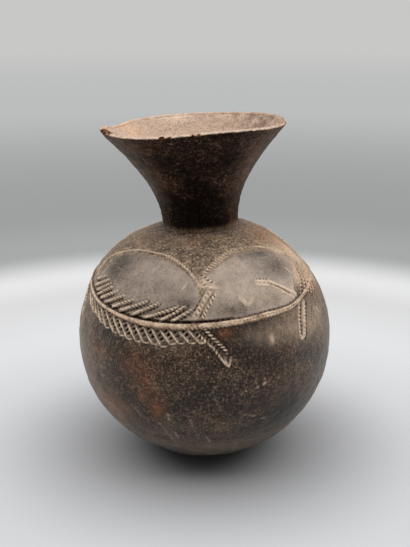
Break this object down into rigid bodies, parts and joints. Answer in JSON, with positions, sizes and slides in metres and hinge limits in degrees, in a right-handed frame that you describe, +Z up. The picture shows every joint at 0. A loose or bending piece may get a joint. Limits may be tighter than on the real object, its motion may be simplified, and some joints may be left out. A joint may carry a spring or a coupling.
{
  "type": "earthenware jar",
  "caption": "Round coil-built earthenware jar with a narrow neck, a wide funnel mouth and a cord-marked band round its shoulder.",
  "frame": {"origin": "middle of the flat resting face under the bowl, on the ground", "axes": "+Z up through the mouth, -Y towards the pictured front, +X to the right as seen from the front"},
  "size_m": [0.208, 0.208, 0.2739],
  "materials": {
    "body_clay": "burnished low-fired earthenware, smoked dark brown",
    "shoulder_clay": "low-fired earthenware, dusty brown with burnished grey panels",
    "sooted_neck_clay": "low-fired earthenware, blackened by smoke",
    "rim_clay": "worn low-fired earthenware, pale inside",
    "band_clay": "low-fired earthenware, cord-marked and worn pale"
  },
  "bodies": {
    "root": {"base_bowl": "body_clay", "lower_belly_coil": "body_clay", "upper_belly_coil": "body_clay", "lower_shoulder_coil": "shoulder_clay", "upper_shoulder_coil": "shoulder_clay", "neck_root_coil": "sooted_neck_clay", "neck_coil": "sooted_neck_clay", "funnel_coil": "sooted_neck_clay", "mouth_rim": "rim_clay", "shoulder_band": "band_clay"}
  },
  "joints": []
}
